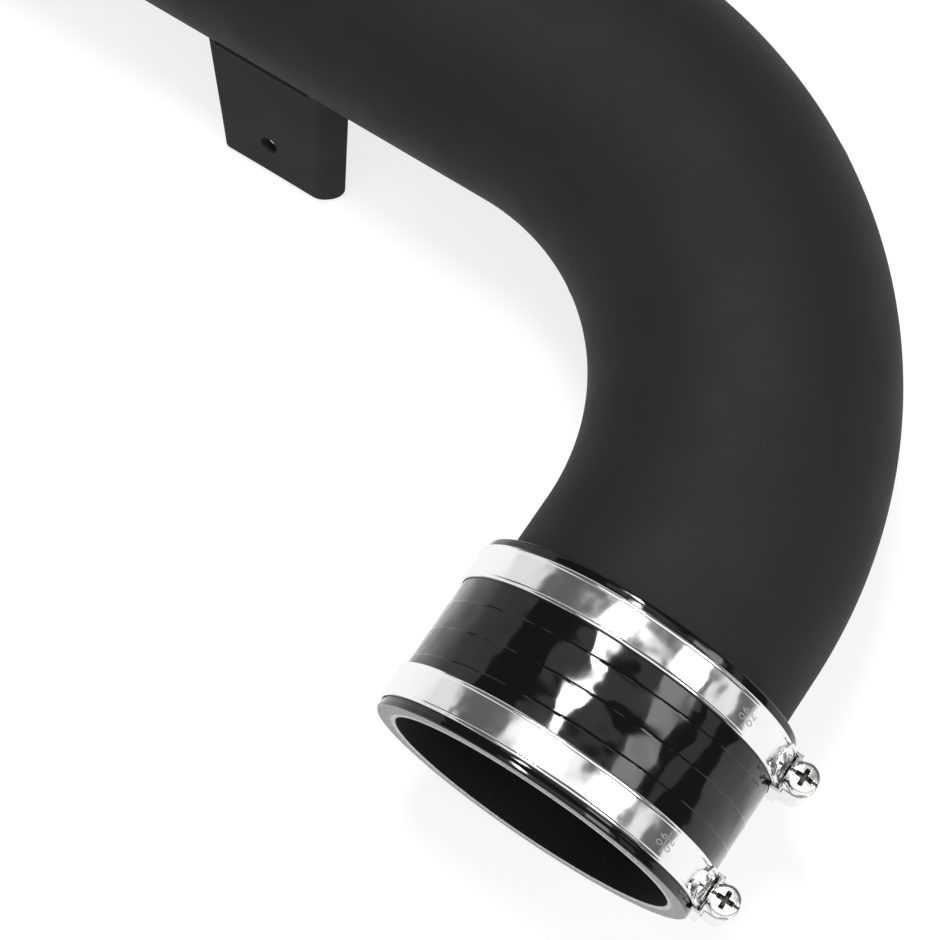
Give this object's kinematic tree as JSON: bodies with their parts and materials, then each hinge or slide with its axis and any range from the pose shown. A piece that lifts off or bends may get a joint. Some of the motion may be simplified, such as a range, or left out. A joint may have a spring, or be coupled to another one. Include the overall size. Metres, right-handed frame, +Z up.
{
  "type": "cold air intake pipe",
  "caption": "Bent black tube for an engine's intake air, with a welded bracket and a silicone coupler held by worm-drive clamps.",
  "frame": {"origin": "centre of the coupler's mouth", "axes": "+X out of the mouth along the coupler's axis, +Z up, and the tube bends towards -Y in the XY plane"},
  "size_m": [0.2033, 0.3424, 0.0975],
  "materials": {
    "powder_coated_tube": "satin black powder coat",
    "powder_coated_sheet": "satin black powder coat",
    "silicone": "glossy black, fabric plies",
    "band_steel": "polished stainless",
    "screw_steel": "bright zinc plate"
  },
  "bodies": {
    "pipe": {"intake_pipe": "powder_coated_tube", "mounting_bracket": "powder_coated_sheet", "coupler_hose": "silicone", "mouth_clamp_band": "band_steel", "mouth_clamp_housing": "band_steel", "tube_clamp_band": "band_steel", "tube_clamp_housing": "band_steel"},
    "mouth_screw": {"mouth_clamp_screw": "screw_steel"},
    "tube_screw": {"tube_clamp_screw": "screw_steel"}
  },
  "joints": [
    {"name": "mouth_screw_turn", "type": "hinge", "parent": "pipe", "child": "mouth_screw", "pos_m": [-0.0068, 0.04739, -0.00498], "axis": [0, 0.1045, 0.9945], "continuous": true},
    {"name": "tube_screw_turn", "type": "hinge", "parent": "pipe", "child": "tube_screw", "pos_m": [-0.0402, 0.04739, -0.00498], "axis": [0, 0.1045, 0.9945], "continuous": true}
  ]
}
